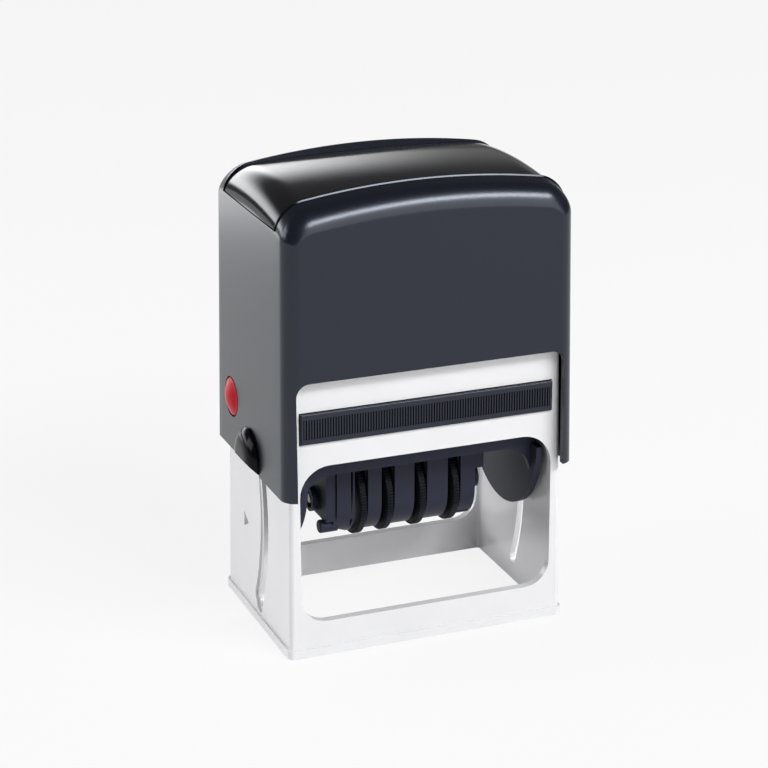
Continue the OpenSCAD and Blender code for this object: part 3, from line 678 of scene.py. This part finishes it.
def makeFrame():
    halfW, halfD, top = frameHigh.x - base["lipOut"], frameHigh.y - base["lipOut"], frameHigh.z
    innerW, innerD = halfW - base["wall"], halfD - base["wall"]
    form = bmesh.new()
    for corner in block(form, (-halfW, -halfD, 0), (halfW, halfD, top)):
        if corner.co.z > 0:
            corner.co.x -= math.copysign(shell["draft"] * top, corner.co.x)
            corner.co.y -= math.copysign(shell["draft"] * top, corner.co.y)
    roundEdges(form, edgesAlong(form, 2), base["corner"])
    lip = bmesh.new()
    block(lip, (-frameHigh.x, -frameHigh.y, 0), (frameHigh.x, frameHigh.y, base["lipHeight"]))
    roundEdges(lip, edgesAlong(lip, 2), base["corner"] + base["lipOut"])
    form = combine(form, lip, "UNION")
    room = bmesh.new()
    block(room, (-innerW, -innerD, -over), (innerW, innerD, base["deckLow"]))
    block(room, (-innerW, -innerD, base["deckTop"]), (innerW, innerD, top + over))
    roundEdges(room, edgesAlong(room, 2), base["innerCorner"])
    form = combine(form, room)
    inside = bmesh.new()
    post(inside, 0, 0, base["deckTop"] - base["postRoot"], top, base["springPost"])
    low, high = base["stopRib"]
    for side in (-1, 1):
        block(inside, (side * low[0], low[1], low[2]), (side * high[0], high[1], high[2]))
    form = combine(form, inside, "UNION")
    windows = bmesh.new()
    half = base["windowHalf"]
    roundedPrism(windows, (-half, base["sill"]), (half, base["windowTop"]), base["windowLowRadius"],
                 base["windowTopRadius"], -frameHigh.y - over, frameHigh.y + over)
    form = combine(form, windows)
    slots = bmesh.new()
    half, (slotLow, slotTop) = base["padSlotHalf"], base["padSlot"]
    block(slots, (-half, -frameHigh.y - over, slotLow), (half, 0, slotTop))
    form = combine(form, slots)
    slots = bmesh.new()
    half = base["traySlotHalf"]
    block(slots, (-half, 0, base["traySlotLow"]), (half, frameHigh.y + over, slotTop))
    low, high = base["armSlot"]
    for side in (-1, 1):
        block(slots, (side * low[0], low[1], base["deckLow"] - base["slotPast"]),
              (side * high[0], high[1], base["deckTop"] + over))
    form = combine(form, slots)
    rimX = halfW - shell["draft"] * cam["middleZ"] - cam["rimDepth"]
    form = combine(form, camCutter(cam["rimHalf"], rimX))
    form = combine(form, camCutter(cam["half"], innerW - over))
    sides = bmesh.new()
    rod(sides, -frameHigh.x - over, frameHigh.x + over, button["y"], button["z"], button["frameHole"])
    tip, width, height, depth = base["mark"]
    for side in (-1, 1):
        prism(sides, [tip, (tip[0] + width, tip[1] - height / 2), (tip[0] + width, tip[1] + height / 2)], "X",
              side * (halfW - shell["draft"] * tip[1] - depth), side * (frameHigh.x + over))
    form = combine(form, sides)
    finishPiece("baseFrame", form, whiteAbs, ["base_frame"], base["edge"])


makeFrame()
print("frame made")


# Ink cartridge

trayLow, trayHigh = nodeBox("pad_tray")
padLow, padHigh = nodeBox("ink_pad")
tray = {
    "barDepth": 3.0,
    "trayHalf": 28.85,
    "trayLow": 51.9,
    "trayDrop": 0.02,      # how far the tray's top lies below the bar's
    "bedFit": 0.02,
    "gripEdge": 1.3,       # smooth edges above and below the ribs
    "gripSide": 0.65,
    "gripDepth": 0.35,
    "ribPitch": 0.62,
    "ribShares": (0.1, 0.3, 0.7, 0.9),    # where a rib starts, is full, stays full and ends in its pitch
    "ribBack": 0.03,       # how far the crests lie behind the bar's face
    "ribRoot": (0.1, 0.5, 0.05),          # the ribs' root: in from the sides, into the bar, past the grip
    "edge": 0.3,
}


def makeTray():
    form = bmesh.new()
    block(form, trayLow, (trayHigh.x, trayLow.y + tray["barDepth"], trayHigh.z))
    roundEdges(form, form.edges[:], tray["edge"], 3)
    grip = bmesh.new()
    gripHalf = trayHigh.x - tray["gripSide"]
    gripLow, gripTop = trayLow.z + tray["gripEdge"], trayHigh.z - tray["gripEdge"]
    valley = trayLow.y + tray["gripDepth"]
    block(grip, (-gripHalf, trayLow.y - over, gripLow), (gripHalf, valley, gripTop))
    form = combine(form, grip)
    ribs = bmesh.new()
    count = int(2 * gripHalf / tray["ribPitch"])
    pitch = 2 * gripHalf / count
    crest = trayLow.y + tray["ribBack"]
    rootSide, rootDepth, rootPast = tray["ribRoot"]
    outline = []
    for k in range(count):
        x = -gripHalf + k * pitch
        outline += [(x + share * pitch, y) for share, y in
                    zip(tray["ribShares"], (valley, crest, crest, valley))]
    outline += [(gripHalf - rootSide, valley + rootDepth), (-gripHalf + rootSide, valley + rootDepth)]
    prism(ribs, outline, "Z", gripLow - rootPast, gripTop + rootPast)
    form = combine(form, ribs, "UNION")
    body = bmesh.new()
    block(body, (-tray["trayHalf"], trayLow.y + tray["barDepth"] / 2, tray["trayLow"]),
          (tray["trayHalf"], trayHigh.y, trayHigh.z - tray["trayDrop"]))
    roundEdges(body, edgesAlong(body, 2), tray["edge"], 3)
    bed = bmesh.new()
    fit = tray["bedFit"]
    block(bed, (padLow.x - fit, padLow.y - fit, padLow.z - over),
          (padHigh.x + fit, padHigh.y + fit, padHigh.z))
    body = combine(body, bed)
    form = combine(form, body, "UNION")
    finishPiece("padTray", form, satinBlackAbs, ["pad_tray"])


felt = {
    "edge": 0.5,
    "cells": 60,
    "fuzz": 0.06,          # height of the uneven face
    "fuzzPerMm": 1.7,
    "longEdge": 40,        # edges longer than this run across the pad, and than the next from front to rear
    "deepEdge": 30,
    "faceDepth": 0.05,
}


def makeFelt():
    form = bmesh.new()
    block(form, padLow, padHigh)
    lower = [e for e in form.edges if all(v.co.z < padLow.z + 0.01 for v in e.verts)]
    roundEdges(form, lower, felt["edge"], 3)
    wide = [e for e in edgesAlong(form, 0) if e.calc_length() > felt["longEdge"]]
    bmesh.ops.subdivide_edges(form, edges=wide, cuts=felt["cells"], use_grid_fill=True)
    deep = [e for e in edgesAlong(form, 1) if e.calc_length() > felt["deepEdge"]]
    bmesh.ops.subdivide_edges(form, edges=deep, cuts=felt["cells"] // 2, use_grid_fill=True)
    for point in form.verts:
        if point.co.z < padLow.z + felt["faceDepth"]:
            point.co.z += felt["fuzz"] * (1 + noise.noise(point.co * felt["fuzzPerMm"])) / 2
    piece = finishPiece("inkPad", form, inkedFelt, ["ink_pad"], softAngle=60)


makeTray()
makeFelt()
print("ink cartridge made")


# Thumb wheels and the dater

wheel = {
    "teeth": 80,
    "toothSteps": 4,      # steps of the turning for each tooth
    "toothDepth": 0.4,
    "toothBand": 0.3,     # only points this close to the rim are pushed in between the teeth
    "rimChamfer": (0.1, 0.2),
    "rimHalf": 0.65,      # half width of the knurled rim
    "flank": 2.2,         # depth of the slanting flanks
    "thick": 2.3,
    "hub": 6.05,
    "bore": 1.05,
}
wheelNames = ("dayTens", "dayUnits", "month", "year")


def nodeName(name, ending):
    return "".join("_" + c.lower() if c.isupper() else c for c in name) + ending


def makeWheel(name):
    node = nodeName(name, "_wheel")
    low, high = nodeBox(node)
    radius, z = (high.z - low.z) / 2, (low.z + high.z) / 2
    middle, end = low.x + wheel["thick"] / 2, low.x + wheel["thick"]
    rim, root, hub, bore = wheel["rimHalf"], radius - wheel["flank"], wheel["hub"], wheel["bore"]
    across, down = wheel["rimChamfer"]
    steps = wheel["toothSteps"] * wheel["teeth"]
    form = bmesh.new()
    turned(form, [(low.x, bore), (low.x, root), (middle - rim - across, radius - down),
                  (middle - rim, radius), (middle + rim, radius), (middle + rim + across, radius - down),
                  (end, root), (end, hub), (high.x, hub), (high.x, bore), (low.x, bore)], 0, z, steps)
    axle = Vector((0, 0, z))
    for point in form.verts:
        arm = point.co - axle
        arm.x = 0
        turn = round(math.atan2(arm.y, arm.z) / (2 * math.pi) * steps)
        if arm.length > radius - wheel["toothBand"] and turn % wheel["toothSteps"] in (0, 3):
            point.co -= arm.normalized() * wheel["toothDepth"]
    finishPiece(name + "Wheel", form, darkWheelAbs, [node], softAngle=30)


for name in wheelNames:
    makeWheel(name)
    easedCopy(name + "Band", nodeName(name, "_band"), bandRubber, 0.12)


daterLow, daterHigh = nodeBox("dater_frame")
dater = {
    "axleZ": 28.5,
    "wall": 0.9,
    "endWall": 1.6,
    "slotGap": 0.15,
    "slotOpen": 0.6,                 # extra room to the left of each wheel
    "slotTop": 38.5,
    "slotDepth": 5.4,
    "groove": (-17.35, -16.75, 0.6, 1.5),    # from x, to x, depth, and rise above the slots
    "gap": (-13.35, -12.85),
    "leftCut": [(-25, 15), (-12.9, 15), (-12.9, 21), (-17.4, 23.7), (-17.4, 25.4), (-25, 25.4)],
    "rightCorner": (17.2, -1.0, 33.6),  # set-back corner: from x, to y, up to z
    "rightLow": (13.7, -5, 22.6),       # higher lower edge: from x, to y, up to z
    "knob": (-20.3, -15.8, -5.6, 23.75, 1.55),    # from x, to x, y, z and radius
    "knobEdge": 0.4,
    "boss": (2.9, 2.15, 20.6),          # outer and inner radius, and end, of the rings round the axle
    "bossRoot": 0.1,                    # how far they start inside the housing
    "edge": 0.15,
}


# a trough with a half-round bottom
def trough(form, x0, x1, radius, low, top):
    block(form, (x0, -radius, low), (x1, radius, top))
    roundEdges(form, [e for e in edgesAlong(form, 0) if e.verts[0].co.z < low + 0.01], radius - 0.01, 16)


def makeDater():
    low, high, wall = daterLow, daterHigh, dater["wall"]
    form = bmesh.new()
    trough(form, low.x, high.x, high.y, low.z, high.z)
    room = bmesh.new()
    trough(room, low.x + dater["endWall"], high.x - dater["endWall"], high.y - wall, low.z + wall,
           high.z + over)
    form = combine(form, room)
    slots = bmesh.new()
    tall = bmesh.new()
    for name in wheelNames:
        wheelLow, wheelHigh = nodeBox(nodeName(name, "_wheel"))
        x0, x1 = wheelLow.x - dater["slotGap"], wheelLow.x + wheel["thick"] + dater["slotGap"]
        rod(slots, x0, x1, 0, dater["axleZ"], wheelHigh.y + dater["slotGap"])
        block(tall, (x0 - dater["slotOpen"], low.y - over, low.z - over),
              (x1, low.y + dater["slotDepth"], dater["slotTop"]))
    form = combine(form, slots)
    x0, x1 = dater["gap"]
    block(tall, (x0, low.y - over, low.z - over), (x1, low.y + 2 * wall, dater["slotTop"]))
    form = combine(form, tall)
    ends = bmesh.new()
    prism(ends, dater["leftCut"], "Y", low.y - over, high.y + over)
    x, y, z = dater["rightLow"]
    block(ends, (x, low.y - over, low.z - over), (high.x + over, y, z))
    form = combine(form, ends)
    ends = bmesh.new()
    x0, x1, depth, rise = dater["groove"]
    block(ends, (x0, low.y - over, low.z - over), (x1, low.y + depth, dater["slotTop"] + rise))
    x, y, z = dater["rightCorner"]
    block(ends, (x, low.y - over, low.z - over), (high.x + over, y, z))
    form = combine(form, ends)
    added = bmesh.new()
    x0, x1, y, z, radius = dater["knob"]
    roundEdges(added, {e for v in rod(added, x0, x1, y, z, radius) for e in v.link_edges
                       if abs(e.verts[0].co.x - e.verts[1].co.x) < 0.001}, dater["knobEdge"], 3)
    out, inner, end = dater["boss"]
    for side in (-1, 1):
        rod(added, side * end, side * (high.x - dater["bossRoot"]), 0, dater["axleZ"], out)
    form = combine(form, added, "UNION")
    seats = bmesh.new()
    for side in (-1, 1):
        rod(seats, side * high.x, side * (end + over), 0, dater["axleZ"], inner)
    form = combine(form, seats)
    bore = bmesh.new()
    rod(bore, low.x - over, high.x + over, 0, dater["axleZ"], wheel["bore"], 32)
    form = combine(form, bore)
    finishPiece("daterFrame", form, charcoalAbs, ["dater_frame"], dater["edge"])


carrier = {
    # name: node, material, slot, softened edge
    "dieHolder": ("die_holder", charcoalAbs, "satin_black_abs", 0.2),
    "textPlate": ("text_plate", redRubber, "red_rubber", 0.1),
    "bandBridge": ("band_bridge", greyAcetal, "grey_acetal", 0.2),
    "carrierYoke": ("carrier_yoke", greyAcetal, "grey_acetal", 0.25),
    "yokeScrews": ("yoke_screws", zincSteel, "zinc_steel", 0.12),
    "axlePins": ("axle_pins", zincSteel, "zinc_steel", 0.12),
    "guidePins": ("guide_pins", zincSteel, "zinc_steel", 0.12),
    "wheelAxle": ("wheel_axle", zincSteel, "zinc_steel", 0.12),
    "axleClips": ("axle_clips", zincSteel, "zinc_steel", 0.12),
}
makeDater()
for name, (node, material, slotName, edge) in carrier.items():
    easedCopy(name, node, material, edge)
print("dater and carrier made")


# Return spring

springLow, springHigh = nodeBox("return_spring")
spring = {
    "wire": 1.3,
    "turns": 7,
    "endTurns": 1,
    "endPitch": 1.05,      # rise of a closed turn, in wires
    "stepsPerTurn": 36,
    "sides": 12,
}


def makeSpring():
    form = bmesh.new()
    radius = springHigh.x - spring["wire"] / 2
    low, high = springLow.z + spring["wire"] / 2, springHigh.z - spring["wire"] / 2
    ring = bmesh.ops.create_circle(form, segments=spring["sides"], radius=spring["wire"] / 2)["verts"]
    bmesh.ops.rotate(form, verts=ring, matrix=Matrix.Rotation(math.pi / 2, 3, "X"))
    bmesh.ops.translate(form, vec=(radius, 0, low), verts=ring)
    geom = ring + form.edges[:]
    endRise = spring["wire"] * spring["endPitch"] * spring["endTurns"]
    for turns, rise in ((spring["endTurns"], endRise), (spring["turns"], high - low - 2 * endRise),
                        (spring["endTurns"], endRise)):
        steps = turns * spring["stepsPerTurn"]
        geom = bmesh.ops.spin(form, geom=geom, cent=(0, 0, 0), axis=(0, 0, 1), dvec=(0, 0, rise / steps),
                              angle=2 * math.pi * turns, steps=steps)["geom_last"]
    bmesh.ops.holes_fill(form, edges=form.edges, sides=0)
    piece = finishPiece("returnSpring", form, springSteel, ["return_spring"], softAngle=50)
    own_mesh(piece)


makeSpring()
print("spring made")


# Floor, light and camera

stage = {
    "size": 12.0,           # metres
    "drop": 0.0001,         # just under the part's foot
    "bounce": "#e8e8e8",    # the colour that the object's light falls on
    "white": 0.85,          # share of plain white that the camera and reflections see
}


def makeStage():
    form = bmesh.new()
    bmesh.ops.create_grid(form, x_segments=1, y_segments=1, size=stage["size"] / 2)
    mesh = bpy.data.meshes.new("floor")
    form.to_mesh(mesh)
    form.free()
    floor = bpy.data.objects.new("floor", mesh)
    scene.collection.objects.link(floor)
    floor.location.z = -stage["drop"]
    material = bpy.data.materials.new("whitePaper")
    material.use_nodes = True
    tree = material.node_tree
    tree.nodes.clear()
    path = addNode(tree, "ShaderNodeLightPath")
    seen = path.outputs["Is Camera Ray"]
    for ray in ("Is Glossy Ray", "Is Transmission Ray"):
        either = addNode(tree, "ShaderNodeMath", None, {0: seen, 1: path.outputs[ray]}, operation="MAXIMUM")
        seen = either.outputs["Value"]
    share = addNode(tree, "ShaderNodeMath", {1: stage["white"]}, {0: seen}, operation="MULTIPLY")
    paper = addNode(tree, "ShaderNodeBsdfDiffuse", {"Color": linearColour(stage["bounce"])})
    glow = addNode(tree, "ShaderNodeEmission", {"Strength": 1.0})
    mix = addNode(tree, "ShaderNodeMixShader", None, {"Fac": share.outputs["Value"], 1: paper.outputs["BSDF"],
                                                     2: glow.outputs["Emission"]})
    addNode(tree, "ShaderNodeOutputMaterial", None, {"Surface": mix.outputs["Shader"]})
    mesh.materials.append(material)


lights = {
    # name: place, point it faces, width and height in metres, and power in watts
    "frontSoftbox": ((0.5, -0.95, 0.95), (0, 0, 0.06), 1.0, 0.20, 14.0),
    "frontFill": ((0.75, -1.5, 0.55), (0, 0, 0.05), 1.6, 0.9, 8.8),
    "leftSoftbox": ((-1.3, 0.25, 0.7), (0, 0, 0.05), 0.8, 0.6, 6.6),
    "leftKicker": ((-0.17, 0.30, 0.03), (-0.037, 0.02, 0.08), 0.16, 0.05, 0.05),
}
sky = {
    "level": 0.14,                # all round
    "strip": 5.5,                 # bright strip behind the object, low above the horizon
    "stripStart": (0.08, 0.12),   # its soft lower and upper edges, as heights on a unit sphere
    "stripEnd": (0.20, 0.40),
    "stripSide": (0.16, 0.42),    # its soft right edge, and what is left of it beyond
    "stripRest": 0.04,
    "stripBack": (0.2, 0.6),      # how far it comes round towards the front
}


# stands a lamp or the camera at a place, turned to its target
def aim(name, data, place, target):
    holder = bpy.data.objects.new(name, data)
    holder.location = place
    holder.rotation_euler = (Vector(target) - Vector(place)).to_track_quat("-Z", "Y").to_euler()
    scene.collection.objects.link(holder)
    return holder


def makeLights():
    for name, (place, target, width, height, power) in lights.items():
        lamp = bpy.data.lights.new(name, "AREA")
        lamp.shape = "RECTANGLE"
        lamp.size, lamp.size_y = width, height
        lamp.energy = power
        aim(name, lamp, place, target)


def makeSky():
    world = bpy.data.worlds.new("studio")
    world.use_nodes = True
    tree = world.node_tree
    spot = addNode(tree, "ShaderNodeTexCoord").outputs["Generated"]
    axes = addNode(tree, "ShaderNodeSeparateXYZ", None, {"Vector": spot}).outputs
    strength = None
    fades = (("Z", sky["stripStart"], 0, sky["strip"]), ("Z", sky["stripEnd"], 1, 0),
             ("X", sky["stripSide"], 1, sky["stripRest"]), ("Y", sky["stripBack"], 0, 1))
    for axis, (start, end), low, high in fades:
        fade = addNode(tree, "ShaderNodeMapRange", {"From Min": start, "From Max": end, "To Min": low,
                                                    "To Max": high}, {"Value": axes[axis]},
                       interpolation_type="SMOOTHSTEP").outputs["Result"]
        if strength:
            both = addNode(tree, "ShaderNodeMath", None, {0: strength, 1: fade}, operation="MULTIPLY")
            fade = both.outputs["Value"]
        strength = fade
    total = addNode(tree, "ShaderNodeMath", {1: sky["level"]}, {0: strength}, operation="ADD")
    tree.links.new(total.outputs["Value"], tree.nodes["Background"].inputs["Strength"])
    tree.nodes["Background"].inputs["Color"].default_value = (1, 1, 1, 1)
    scene.world = world


view = {
    "place": (-195.46, -487.35, 244.57),
    "target": (-2.01, 0, 53.88),
    "lens": 114.98,
    "sensor": 36,
    "nearest": 10,
}


def makeCamera():
    data = bpy.data.cameras.new("camera")
    data.lens = view["lens"]
    data.sensor_width = view["sensor"]
    data.clip_start = view["nearest"] * mm
    scene.camera = aim("camera", data, Vector(view["place"]) * mm, Vector(view["target"]) * mm)


makeStage()
makeLights()
makeSky()
makeCamera()
scene.view_settings.view_transform = "Standard"
print("studio made")
